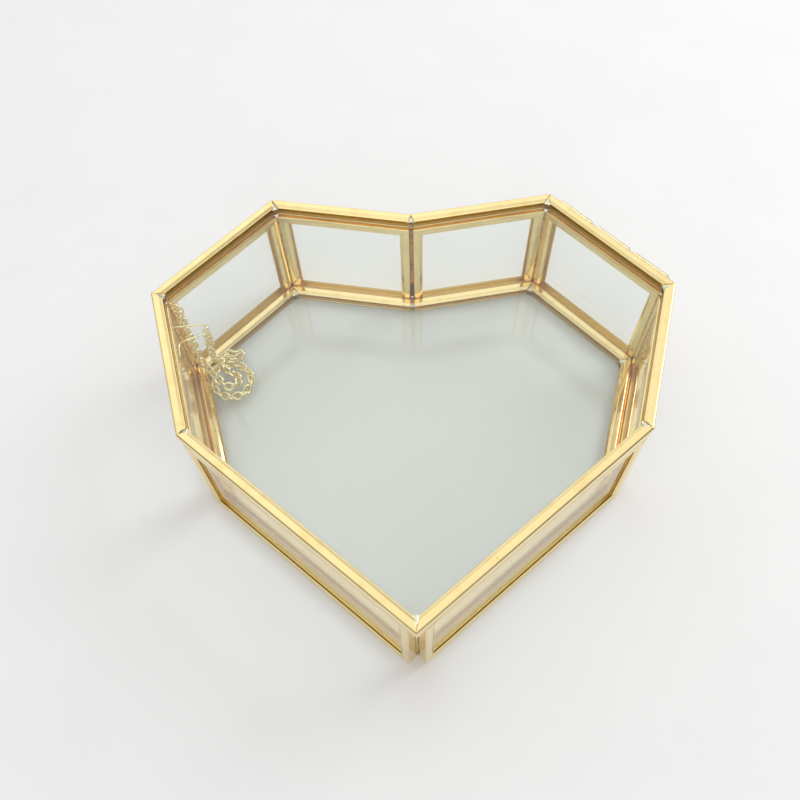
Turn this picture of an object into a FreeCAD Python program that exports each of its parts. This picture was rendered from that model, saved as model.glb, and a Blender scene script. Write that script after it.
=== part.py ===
# Heart-shaped glass jewelry box: glass panes in folded brass channel frames, soldered at the
# corners, with a hinged glass lid and a keeper chain. Millimetres, +Z up. The origin is on the
# table, under the middle of the box. Walls run clockwise, seen from above, from the left lobe.
import FreeCAD, Part
import math
import os
import Sketcher

Vector = FreeCAD.Vector

# Driving dimensions: the value in millimetres and what it measures.
DRIVING = [
    ("half_width", "100", "middle to a side corner"),
    ("depth", "177", "front tip to the lobe corners"),
    ("lobe_spread", "57", "middle to a lobe corner"),
    ("notch_drop", "9.5", "lobe corners to the notch"),
    ("shoulder_drop", "47", "lobe corners to the side corners"),
    ("hip_spread", "82", "middle to a hip corner"),
    ("hip_drop", "108.5", "lobe corners to the hip corners"),
    ("wall_height", "50", "height of the wall frames"),
    ("glass_thick", "2", "thickness of every pane"),
    ("pane_play", "0.05", "clearance on each face of a pane"),
    ("pane_edge", "0.4", "clearance from a pane's edge to its channel"),
    ("channel_sheet", "0.6", "brass sheet of the folded channels"),
    ("channel_leg", "4", "width of a channel's legs"),
    ("crease_place", "2.6", "a channel's back to the crease in its legs"),
    ("crease_drop", "0.8", "how far a leg bends in from its crease to its lip"),
    ("corner_gap", "0.06", "half the gap where two wall frames meet"),
    ("seam_depth", "2.8", "depth of the solder in a corner gap"),
    ("notch_half", "1.5", "half width of a leg notch at its mouth"),
    ("floor_fit", "0.1", "gap between the floor frame and the walls"),
    ("lid_gap", "0.2", "gap between the lid and the walls"),
    ("barrel_radius", "1.5", "outside of the hinge tubes"),
    ("barrel_clear", "0.4", "hinge tubes to the wall's outer face"),
    ("barrel_length", "16", "length of one hinge tube"),
    ("barrel_space", "3", "bare pin between two hinge tubes"),
    ("hinge_rise", "1.2", "lid's underside up to the hinge axis"),
    ("leaf_thick", "0.8", "hinge leaf"),
    ("leaf_height", "3.6", "hinge leaf on the wall, and on the lid"),
    ("leaf_clear", "0.05", "gap between the box's leaves and the lid's edge"),
    ("pin_radius", "0.7", "hinge pin"),
    ("pin_fit", "0.05", "radial clearance of the pin"),
    ("head_radius", "1.1", "peened end of the pin"),
    ("head_length", "0.6", "peened end of the pin"),
    ("wire_radius", "0.35", "wire of the chain, its eye and its ring"),
    ("link_radius", "1.5", "chain link, to the middle of its wire"),
    ("link_pitch", "2.1", "chain link to chain link"),
    ("ring_radius", "2.6", "corner ring, to the middle of its wire"),
    ("eye_place", "16.7", "side corner to the middle of the chain eye"),
    ("eye_half", "3", "half width of the chain eye"),
    ("eye_reach", "12", "chain eye's reach from the wall frame"),
    ("hang_drop", "3", "wall top down to the chain's upper ends"),
    ("heap_radius", "13", "outermost turn of the heaped chain"),
    ("heap_step", "4.2", "turn to turn of the heaped chain"),
    ("heap_turns", "2", "turns of the heaped chain"),
    ("heap_lift", "0.2", "heaped chain above what it lies on"),
]

CORNERS = ["left_lobe", "notch", "right_lobe", "right_side", "right_hip", "tip", "left_hip", "left_side"]
WALLS = ["back_left", "back_right", "shoulder_right", "side_right",
         "front_right", "front_left", "side_left", "shoulder_left"]
HINGE_WALL = "shoulder_right"
EYE_WALL = "side_left"
RING_CORNER = "left_side"
LAND_SHARE = 0.4  # of the way from the ring to the eye, taken by the chain's bend onto the floor
LIFT_SHARE = 0.3  # and by its bend up from the floor
POINTS_PER_TURN = 10  # of the heaped chain's route
POINTS_DOWN = 8  # of them, on the way down from the floor frame to its pane

CORNER_PLACE = {
    "left_lobe": ("-lobe_spread", "depth / 2"),
    "notch": ("0 * depth", "depth / 2 - notch_drop"),
    "right_lobe": ("lobe_spread", "depth / 2"),
    "right_side": ("half_width", "depth / 2 - shoulder_drop"),
    "right_hip": ("hip_spread", "depth / 2 - hip_drop"),
    "tip": ("0 * depth", "-depth / 2"),
    "left_hip": ("-hip_spread", "depth / 2 - hip_drop"),
    "left_side": ("-half_width", "depth / 2 - shoulder_drop"),
}

doc = FreeCAD.newDocument("jewelry_box")
sheet = doc.addObject("Spreadsheet::Sheet", "Sizes")
sheetRow = 0


def addCell(alias, text, note=""):
    global sheetRow
    sheetRow += 1
    sheet.set(f"A{sheetRow}", alias)
    sheet.set(f"B{sheetRow}", text)
    sheet.set(f"C{sheetRow}", note)
    sheet.setAlias(f"B{sheetRow}", alias)


def size(alias):
    value = sheet.get(alias)
    return value.Value if hasattr(value, "Value") else float(value)


def cells(text):
    # Writes $name as the sheet's cell of that name.
    return text.replace("$", "Sizes.")


def bind(target, **formulas):
    for name, text in formulas.items():
        target.setExpression(name.replace("__", "."), cells(text))


def place(target, x="0", y="0", z="0", turn="0"):
    # Turns an object about +Z, then moves it.
    target.Placement = FreeCAD.Placement(Vector(), FreeCAD.Rotation(Vector(0, 0, 1), 1))
    bind(target, Placement__Base__x=x, Placement__Base__y=y, Placement__Base__z=z,
         Placement__Rotation__Angle=turn)


def previousWall(corner):
    return WALLS[CORNERS.index(corner) - 1]


def nextCorner(corner):
    return CORNERS[(CORNERS.index(corner) + 1) % len(CORNERS)]


for alias, text, note in DRIVING:
    addCell(alias, text, note)

# Sizes worked out from the driving ones: the channel, the corners, the walls between them, the
# turn at each corner and the inward step of a corner for one millimetre of inset.
addCell("slot_width", "=glass_thick + 2 * pane_play", "between a channel's lips")
addCell("hollow_width", "=slot_width + 2 * crease_drop", "inside of a channel, behind its creases")
addCell("channel", "=hollow_width + 2 * channel_sheet", "outside of a channel")
addCell("hinge_out", "=barrel_radius + barrel_clear", "wall's outer face to the hinge axis")
addCell("lid_base", "=wall_height + lid_gap", "table to the lid")
addCell("hinge_height", "=lid_base + hinge_rise", "table to the hinge axis")
addCell("hinge_span", "=3 * barrel_length + 2 * barrel_space", "three tubes and their spaces")
addCell("hang_height", "=wall_height - hang_drop", "table to the chain's upper ends")
for corner in CORNERS:
    xText, yText = CORNER_PLACE[corner]
    addCell(f"{corner}_x", f"={xText}")
    addCell(f"{corner}_y", f"={yText}")
for corner, wall in zip(CORNERS, WALLS):
    alongX = f"({nextCorner(corner)}_x - {corner}_x)"
    alongY = f"({nextCorner(corner)}_y - {corner}_y)"
    addCell(f"{wall}_run", f"=hypot({alongX}; {alongY})")
    addCell(f"{wall}_heading", f"=atan2({alongY}; {alongX})")
for corner, wall in zip(CORNERS, WALLS):
    before = f"{previousWall(corner)}_heading"
    after = f"{wall}_heading"
    addCell(f"{corner}_turn", f"=mod({before} - {after} + 540 deg; 360 deg) - 180 deg")
    addCell(f"{corner}_in_x", f"=(sin({before}) + sin({after})) / (1 + cos({corner}_turn))")
    addCell(f"{corner}_in_y", f"=-(cos({before}) + cos({after})) / (1 + cos({corner}_turn))")
    addCell(f"{corner}_inward", f"=atan2({corner}_in_y; {corner}_in_x)")
    addCell(f"{corner}_setback", f"=max(0 * channel; channel * tan({corner}_turn / 2)) + corner_gap")
doc.recompute()


def newSketch(body, name, role, height="0"):
    sketch = body.newObject("Sketcher::SketchObject", name)
    plane = next(feature for feature in body.Origin.OriginFeatures if feature.Role == role)
    sketch.AttachmentSupport = [(plane, "")]
    sketch.MapMode = "FlatFace"
    bind(sketch, AttachmentOffset__Base__z=height)
    return sketch


def addLoop(sketch, label, points):
    # A closed loop of lines through points given as pairs of formulas of the sheet's cells.
    first = sketch.GeometryCount
    count = len(points)
    for index in range(count):
        angle = -2 * math.pi * index / count
        following = -2 * math.pi * (index + 1) / count
        start = Vector(math.cos(angle), math.sin(angle), 0)
        sketch.addGeometry(Part.LineSegment(start, Vector(math.cos(following), math.sin(following), 0)))
    for index in range(count):
        after = first + (index + 1) % count
        sketch.addConstraint(Sketcher.Constraint("Coincident", first + index, 2, after, 1))
    for index, point in enumerate(points):
        for axis, text in zip("XY", point):
            startValue = getattr(sketch.Geometry[first + index].StartPoint, axis.lower())
            number = sketch.addConstraint(
                Sketcher.Constraint("Distance" + axis, -1, 1, first + index, 1, startValue))
            sketch.renameConstraint(number, f"{label}{index}{axis}")
            sketch.setExpression(f"Constraints.{label}{index}{axis}", cells(text))


def heartLoop(sketch, label, inset):
    points = []
    for corner in CORNERS:
        x = f"${corner}_x + ({inset}) * ${corner}_in_x"
        y = f"${corner}_y + ({inset}) * ${corner}_in_y"
        points.append((x, y))
    addLoop(sketch, label, points)


def rectangleLoop(sketch, label, x0, x1, z0, z1):
    addLoop(sketch, label, [(x0, z0), (x0, z1), (x1, z1), (x1, z0)])


def addFeature(body, kind, sketch, thickness):
    # A pad or pocket, half to each side of its sketch.
    feature = body.newObject("PartDesign::" + kind, f"{body.Name}_{kind.lower()}")
    feature.Profile = sketch
    feature.SideType = "Symmetric"
    bind(feature, Length=thickness)
    doc.recompute()
    return feature


def foldedChannel(body, role, drawLoop):
    # A ring of channel, open towards the pane. Each leg runs level from the back to its crease, and
    # bends in from there to its lip. drawLoop draws the ring's outline at an inset from its back.
    name = body.Name
    outline = newSketch(body, name + "_outline", role)
    drawLoop(outline, "outer", "0")
    drawLoop(outline, "window", "$channel_leg")
    addFeature(body, "Pad", outline, "$channel")
    slot = newSketch(body, name + "_slot", role)
    drawLoop(slot, "slot", "$channel_sheet")
    addFeature(body, "Pocket", slot, "$slot_width")
    hollow = newSketch(body, name + "_hollow", role)
    drawLoop(hollow, "back", "$channel_sheet")
    drawLoop(hollow, "front", "$crease_place")
    addFeature(body, "Pocket", hollow, "$hollow_width")
    for side in (1, -1):
        crease = newSketch(body, f"{name}_crease", role, f"{side} * $channel / 2")
        drawLoop(crease, "crease", "$crease_place")
        lip = newSketch(body, f"{name}_lip", role, f"{side} * ($channel / 2 - $crease_drop)")
        drawLoop(lip, "lip", "$channel_leg")
        bend = body.newObject("PartDesign::SubtractiveLoft", f"{name}_bend")
        bend.Profile = crease
        bend.Sections = [lip]
        bend.Ruled = True
        doc.recompute()


def heartPane(name, inset, z):
    body = doc.addObject("PartDesign::Body", name)
    outline = newSketch(body, name + "_outline", "XY_Plane")
    heartLoop(outline, "edge", inset)
    addFeature(body, "Pad", outline, "$glass_thick")
    place(body, z=z)
    return body


def heartChannel(name, inset, z):
    # One channel strip folded round the heart.
    def stripLoop(sketch, label, extra):
        heartLoop(sketch, label, f"{inset} + {extra}")

    body = doc.addObject("PartDesign::Body", name + "_blank")
    foldedChannel(body, "XY_Plane", stripLoop)
    place(body, z=z)
    return body


def legNotches(name, inset, z):
    # V notches that let the strip's legs fold at the corners. They start just inside its back.
    wedges = []
    for corner in CORNERS:
        wedge = doc.addObject("Part::Wedge", f"{name}_{corner}_notch")
        backInset = f"({inset} + $channel_sheet + $pane_edge)"
        legReach = f"($channel_leg - $channel_sheet - $pane_edge) * hypot(${corner}_in_x; ${corner}_in_y)"
        mouth = f"{legReach} + $notch_half * abs(tan(${corner}_turn / 2))"
        bind(wedge, Xmin="-$pane_play", Xmax="$pane_play", Ymin="0", Ymax=mouth,
             X2min="-$notch_half", X2max="$notch_half",
             Zmin="-$channel / 2", Zmax="$channel / 2", Z2min="-$channel / 2", Z2max="$channel / 2")
        place(wedge, f"${corner}_x + {backInset} * ${corner}_in_x",
              f"${corner}_y + {backInset} * ${corner}_in_y", z, f"${corner}_inward - 90 deg")
        wedges.append(wedge)
    group = doc.addObject("Part::Compound", name + "_notches")
    group.Links = wedges
    return group


def boolean(kind, name, base, tool):
    result = doc.addObject("Part::" + kind, name)
    result.Base = base
    result.Tool = tool
    return result


def framedHeart(name, inset, z):
    # A pane, its folded channel, and the solder that closes the channel's notches.
    pane = heartPane(name + "_glass", f"{inset} + $channel_sheet + $pane_edge", z)
    blank = heartChannel(name, inset, z)
    notches = legNotches(name, inset, z)
    frame = boolean("Cut", name + "_frame", blank, notches)
    solder = boolean("Common", name + "_solder", blank, notches)
    return [pane, frame, solder]


def framedWall(corner, wall):
    # A wall pane in a square-ended channel frame whose outer face lies on the heart's outline.
    left = f"${corner}_setback"
    right = f"${wall}_run - ${nextCorner(corner)}_setback"
    middleX = f"${corner}_x + $channel / 2 * sin(${wall}_heading)"
    middleY = f"${corner}_y - $channel / 2 * cos(${wall}_heading)"

    def wallLoop(sketch, label, inset):
        rectangleLoop(sketch, label, f"{left} + {inset}", f"{right} - {inset}",
                      inset, f"$wall_height - {inset}")

    frame = doc.addObject("PartDesign::Body", wall + "_frame")
    foldedChannel(frame, "XZ_Plane", wallLoop)
    pane = doc.addObject("PartDesign::Body", wall + "_glass")
    edge = newSketch(pane, wall + "_edge", "XZ_Plane")
    wallLoop(edge, "edge", "($channel_sheet + $pane_edge)")
    addFeature(pane, "Pad", edge, "$glass_thick")
    for piece in (frame, pane):
        place(piece, middleX, middleY, "0", f"${wall}_heading")
    return [frame, pane]


def cornerSeam(corner):
    # Solder between two wall frames. At the notch the gap opens inwards, elsewhere outwards.
    seam = doc.addObject("Part::Wedge", corner + "_seam")
    half = f"abs(${corner}_turn) / 2"
    nearY = f"-$corner_gap * sin({half})"
    nearX = f"$corner_gap * cos({half})"
    farY = f"{nearY} + $seam_depth * cos({half})"
    farX = f"{nearX} + $seam_depth * sin({half})"
    bind(seam, Xmin=f"-({nearX})", Xmax=nearX, Ymin=nearY, Ymax=farY, X2min=f"-({farX})", X2max=farX,
         Zmin="0", Zmax="$wall_height", Z2min="0", Z2max="$wall_height")
    if size(f"{corner}_turn") < 0:
        place(seam, f"${corner}_x", f"${corner}_y", "0", f"${corner}_inward - 90 deg")
    else:
        place(seam, f"${corner}_x + $channel * ${corner}_in_x", f"${corner}_y + $channel * ${corner}_in_y",
              "0", f"${corner}_inward + 90 deg")
    return seam


def rod(name, radius, start, length):
    # A cylinder along the hinge axis. Its start is measured along the hinge wall.
    cylinder = doc.addObject("Part::Cylinder", name)
    cylinder.Placement = FreeCAD.Placement(Vector(), FreeCAD.Rotation(Vector(0, 1, 0), 90))
    bind(cylinder, Radius=radius, Height=length, Placement__Base__x=start,
         Placement__Base__y="$hinge_out", Placement__Base__z="$hinge_height")
    return cylinder


def fuse(name, pieces):
    joined = doc.addObject("Part::MultiFuse", name)
    joined.Shapes = pieces
    return joined


def knuckle(name, slot, onLid):
    # A tube with a leaf on the outer face of the wall, or of the lid's frame. The wall's leaf stands
    # off by a hair, because it runs up past the lid's edge to the tube.
    start = f"(${HINGE_WALL}_run - $hinge_span) / 2 + {slot} * ($barrel_length + $barrel_space)"
    tube = rod(name + "_tube", "$barrel_radius", start, "$barrel_length")
    leaf = doc.addObject("Part::Box", name + "_leaf")
    bind(leaf, Length="$barrel_length", Width="$leaf_thick", Placement__Base__x=start)
    if onLid:
        bind(leaf, Height="$leaf_height", Placement__Base__z="$lid_base")
    else:
        bind(leaf, Height="$leaf_height + $lid_gap + $hinge_rise",
             Placement__Base__y="$leaf_clear", Placement__Base__z="$wall_height - $leaf_height")
    bore = rod(name + "_bore", "$pin_radius + $pin_fit", start, "$barrel_length")
    return boolean("Cut", name, fuse(name + "_body", [tube, leaf]), bore)


def onHingeWall(target):
    corner = CORNERS[WALLS.index(HINGE_WALL)]
    place(target, f"${corner}_x", f"${corner}_y", "0", f"${HINGE_WALL}_heading")
    return target


def hinge():
    # Tubes from the lobe to the side: box, lid, box, on one wire pin with peened ends.
    boxKnuckles = doc.addObject("Part::Compound", "hinge_knuckles_box")
    boxKnuckles.Links = [knuckle("hinge_knuckle_first", 0, False), knuckle("hinge_knuckle_last", 2, False)]
    lidKnuckle = knuckle("hinge_knuckle_lid", 1, True)
    start = f"(${HINGE_WALL}_run - $hinge_span) / 2 - 2 * $pin_fit"
    span = "$hinge_span + 4 * $pin_fit"
    shaft = rod("hinge_pin_shaft", "$pin_radius", start, span)
    firstHead = rod("hinge_pin_first_head", "$head_radius", f"{start} - $head_length", "$head_length")
    lastHead = rod("hinge_pin_last_head", "$head_radius", f"{start} + {span}", "$head_length")
    pin = fuse("hinge_pin", [shaft, firstHead, lastHead])
    return [onHingeWall(piece) for piece in (boxKnuckles, lidKnuckle, pin)]


def chainEye():
    # A bent wire eye that stands out from the top rail of the side wall: two arms and a half ring.
    # It is drawn with X away from the rail, and its arms end on the wall frame's inner face.
    arms = []
    for side in (-1, 1):
        arm = doc.addObject("Part::Cylinder", "eye_arm_left" if side < 0 else "eye_arm_right")
        arm.Placement = FreeCAD.Placement(Vector(), FreeCAD.Rotation(Vector(0, 1, 0), 90))
        bind(arm, Radius="$wire_radius", Height="$eye_reach - $eye_half",
             Placement__Base__y=f"{side} * $eye_half")
        arms.append(arm)
    bend = doc.addObject("Part::Torus", "eye_bend")
    bend.Placement = FreeCAD.Placement(Vector(), FreeCAD.Rotation(Vector(0, 0, 1), -90))
    bend.Angle3 = 180
    bind(bend, Radius1="$eye_half", Radius2="$wire_radius", Placement__Base__x="$eye_reach - $eye_half")
    eye = fuse("chain_eye", arms + [bend])
    along = f"(${EYE_WALL}_run - $eye_place)"
    heading = f"${EYE_WALL}_heading"
    corner = CORNERS[WALLS.index(EYE_WALL)]
    place(eye, f"${corner}_x + {along} * cos({heading}) + $channel * sin({heading})",
          f"${corner}_y + {along} * sin({heading}) - $channel * cos({heading})",
          "$hang_height", f"{heading} - 90 deg")
    return eye


def chainRing():
    # A ring soldered into the corner, standing upright across it.
    ring = doc.addObject("Part::Torus", "chain_ring_wire")
    ring.Placement = FreeCAD.Placement(Vector(), FreeCAD.Rotation(Vector(1, 0, 0), 90))
    bind(ring, Radius1="$ring_radius", Radius2="$wire_radius")
    stand = doc.addObject("Part::Compound", "chain_ring")
    stand.Links = [ring]
    out = "($ring_radius + $wire_radius + $pane_play)"
    corner = RING_CORNER
    inward = f"${corner}_inward"
    place(stand, f"${corner}_x + $channel * ${corner}_in_x + {out} * cos({inward})",
          f"${corner}_y + $channel * ${corner}_in_y + {out} * sin({inward})", "$hang_height", inward)
    return stand


def chainRoute(eye, ring):
    # From under the corner ring straight down, through a quarter bend onto the floor frame, down to
    # its pane and round the heap inwards by whole turns, and through a quarter bend up to the eye.
    # The heap is turned so that its outer end leads away from the ring and its inner end comes out
    # under the eye.
    gap = 2 * size("wire_radius") + 2 * size("pane_play")
    top = ring.Placement.Base + Vector(0, 0, gap - size("ring_radius") - size("link_radius"))
    end = eye.Placement.multVec(Vector(size("eye_reach"), 0, gap - size("link_radius")))
    frameRest = size("channel") + size("wire_radius") + size("link_radius") + size("heap_lift")
    step = (size("channel") - size("glass_thick")) / 2
    turns = round(size("heap_turns"))
    inwards = turns * size("heap_step")
    onwards = math.sqrt((end.x - top.x) ** 2 + (end.y - top.y) ** 2 - inwards ** 2)
    landBend = LAND_SHARE * onwards
    liftBend = LIFT_SHARE * onwards
    angle = math.atan2(end.y - top.y, end.x - top.x) - math.atan2(onwards, -inwards)
    outward = Vector(math.cos(angle), math.sin(angle), 0)
    ahead = Vector(-math.sin(angle), math.cos(angle), 0)
    up = Vector(0, 0, 1)
    slant = math.sqrt(0.5)

    landing = Vector(top.x, top.y, frameRest) + ahead * landBend
    lifting = Vector(end.x, end.y, frameRest - step) - ahead * liftBend
    centre = lifting - outward * (size("heap_radius") - inwards)
    low = landing + (up - ahead) * landBend
    high = lifting + (up + ahead) * liftBend
    points = [top, (top + low) / 2, low, landing + (up * (1 - slant) - ahead * slant) * landBend, landing]
    for index in range(turns * POINTS_PER_TURN + 1):
        around = angle + 2 * math.pi * index / POINTS_PER_TURN
        radius = size("heap_radius") - size("heap_step") * index / POINTS_PER_TURN
        height = step * max(0, 1 - index / POINTS_DOWN)
        points.append(centre + Vector(math.cos(around), math.sin(around), 0) * radius + up * height)
    points += [lifting + (up * (1 - slant) + ahead * slant) * liftBend, high, (high + end) / 2, end]
    route = Part.BSplineCurve()
    route.interpolate(points)
    return route


def keeperChain(eye, ring):
    # Round links, each a quarter turn from the last. The leftover twist is shared along the chain.
    route = chainRoute(eye, ring)
    count = round(route.length() / size("link_pitch"))
    centres = route.discretize(Number=count + 1)
    across = Vector(math.cos(math.radians(size(f"{RING_CORNER}_inward"))),
                    math.sin(math.radians(size(f"{RING_CORNER}_inward"))), 0)
    frames = []
    for centre in centres:
        along = Vector(*route.tangent(route.parameter(centre))[0]).normalize()
        across = (across - along * across.dot(along)).normalize()
        frames.append((centre, along, across))
    lastAlong, lastAcross = frames[-1][1:]
    rail = eye.Placement.Rotation.multVec(Vector(0, 1, 0))
    leftover = math.atan2(lastAlong.dot(lastAcross.cross(rail)), lastAcross.dot(rail))
    quarter = math.pi / 2
    twist = leftover - quarter * count
    twist -= math.pi * round(twist / math.pi)
    links = []
    for index, (centre, along, across) in enumerate(frames):
        angle = quarter * index + twist * index / count
        axis = across * math.cos(angle) + along.cross(across) * math.sin(angle)
        links.append(Part.makeTorus(size("link_radius"), size("wire_radius"), centre, axis))
    chain = doc.addObject("Part::Feature", "keeper_chain")
    chain.Shape = Part.makeCompound(links)
    closest = min(links[i].distToShape(links[j])[0]
                  for i in range(len(links)) for j in range(i + 1, min(i + 3, len(links))))
    print(f"chain: {len(links)} links on {route.length():.1f} mm, least gap {closest:.3f} mm")
    return chain


floorMiddle = "$channel / 2"
lidMiddle = "$lid_base + $channel / 2"
pieces = framedHeart("floor", "$channel + $floor_fit", floorMiddle)
for corner, wall in zip(CORNERS, WALLS):
    pieces += framedWall(corner, wall)
    pieces.append(cornerSeam(corner))
pieces += framedHeart("lid", "0", lidMiddle)
pieces += hinge()
chainEyePiece = chainEye()
chainRingPiece = chainRing()
doc.recompute()
pieces += [chainEyePiece, chainRingPiece, keeperChain(chainEyePiece, chainRingPiece)]
doc.recompute()

for item in doc.Objects:
    if "Invalid" in item.State or "Error" in item.State:
        raise RuntimeError(f"{item.Name}: {item.getStatusString()}")
os.makedirs("parts", exist_ok=True)
for piece in pieces:
    if piece.Shape.isNull() or not piece.Shape.isValid():
        raise RuntimeError(f"{piece.Label} has no valid shape")
    piece.Shape.exportStep(f"parts/{piece.Label}.step")
    print(f"{piece.Label}: {len(piece.Shape.Solids)} solids, {piece.Shape.Volume:.1f} mm3")
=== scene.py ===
import math

import bmesh
import bpy
from mathutils import Matrix, Vector, noise


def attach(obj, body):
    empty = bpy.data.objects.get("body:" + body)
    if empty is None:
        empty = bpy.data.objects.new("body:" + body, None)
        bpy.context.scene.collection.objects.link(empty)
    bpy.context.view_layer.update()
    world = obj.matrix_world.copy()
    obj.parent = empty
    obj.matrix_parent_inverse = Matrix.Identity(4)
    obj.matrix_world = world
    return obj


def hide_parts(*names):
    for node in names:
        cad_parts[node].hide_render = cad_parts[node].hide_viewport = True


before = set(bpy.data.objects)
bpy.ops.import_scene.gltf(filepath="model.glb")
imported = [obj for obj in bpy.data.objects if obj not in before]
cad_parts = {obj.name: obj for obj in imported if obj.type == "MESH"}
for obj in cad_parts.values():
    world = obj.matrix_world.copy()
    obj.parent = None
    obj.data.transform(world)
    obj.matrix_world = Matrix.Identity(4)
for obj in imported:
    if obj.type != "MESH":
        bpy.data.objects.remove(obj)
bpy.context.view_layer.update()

mm = 0.001

# the heart's outline, clockwise from above, in mm
heart = {
    "halfWidth": 100, "depth": 177, "lobeSpread": 57, "notchDrop": 9.5,
    "shoulderDrop": 47, "hipSpread": 82, "hipDrop": 108.5,
}
# a wall runs from the corner of its own number to the next one
cornerNames = ["left_lobe", "notch", "right_lobe", "right_side", "right_hip", "tip", "left_hip", "left_side"]
wallNames = ["back_left", "back_right", "shoulder_right", "side_right",
             "front_right", "front_left", "side_left", "shoulder_left"]

# folded brass channel that holds every pane, in mm
channel = {
    "leg": 4.0, "sheet": 0.6, "thick": 4.9,
    "foldRadius": 0.7, "tightestFold": 0.15, "foldSteps": 5,
    "crease": 2.6, "creaseRound": 0.12, "creaseSink": 0.14,  # where a leg bends in, and how soft the bend is
    "lipFlat": 0.45, "lipDrop": 0.55, "lipRound": 0.2,
    "flat": 0.25,  # a flat of the section wider than this keeps crisp edges
    "sectionStep": 7.0, "wander": 0.05, "wanderLength": 23, "sideShift": 3.1,
    "markShift": 131, "frameShift": 17,  # so that no two strips carry the same roll marks
    "legNotch": 1.5, "hairline": 0.05,  # how far legs are cut back at a bent corner, and at a mitre
    "cornerGap": 0.06, "wallHeight": 50.0, "lidBase": 50.2, "floorInset": 5.0,
}


def heartCorners():
    back = heart["depth"] / 2
    half = [(heart["lobeSpread"], back), (heart["halfWidth"], back - heart["shoulderDrop"]),
            (heart["hipSpread"], back - heart["hipDrop"])]
    right = [Vector(point) for point in half]
    left = [Vector((-x, y)) for x, y in half]
    return [left[0], Vector((0, back - heart["notchDrop"])), *right, Vector((0, -back)), left[2], left[1]]


def edgeWays(loop):
    return [(loop[(i + 1) % len(loop)] - point).normalized() for i, point in enumerate(loop)]


def inwardSteps(loop):
    # the step of each corner for one mm of inset, on a clockwise loop
    ways = edgeWays(loop)
    steps = []
    for i in range(len(loop)):
        before, after = ways[i - 1], ways[i]
        normals = Vector((before.y, -before.x)) + Vector((after.y, -after.x))
        steps.append(normals / (1 + before.dot(after)))
    return steps


corners = heartCorners()
cornerSteps = inwardSteps(corners)
wallWays = edgeWays(corners)


def linear(text):
    # sRGB hex to linear
    values = [int(text[i:i + 2], 16) / 255 for i in (1, 3, 5)]
    return tuple(v / 12.92 if v <= 0.04045 else ((v + 0.055) / 1.055) ** 2.4 for v in values) + (1.0,)


def addNode(tree, kind, inputs=None, **settings):
    node = tree.nodes.new(kind)
    for name, value in settings.items():
        setattr(node, name, value)
    for key, value in (inputs or {}).items():
        if isinstance(value, bpy.types.NodeSocket):
            tree.links.new(value, node.inputs[key])
        else:
            node.inputs[key].default_value = value
    return node


def newMaterial(name):
    material = bpy.data.materials.new(name)
    material.use_nodes = True
    material.node_tree.nodes.clear()
    return material, material.node_tree


def perMetre(millimetres):
    return 1 / (millimetres * mm)  # a noise scale whose blotches are this many mm wide


def span(low, high, start, end):
    # how a pattern's values from low to high become a share, roughness or strength from start to end
    return {"From Min": low, "From Max": high, "To Min": start, "To Max": end}


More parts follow.
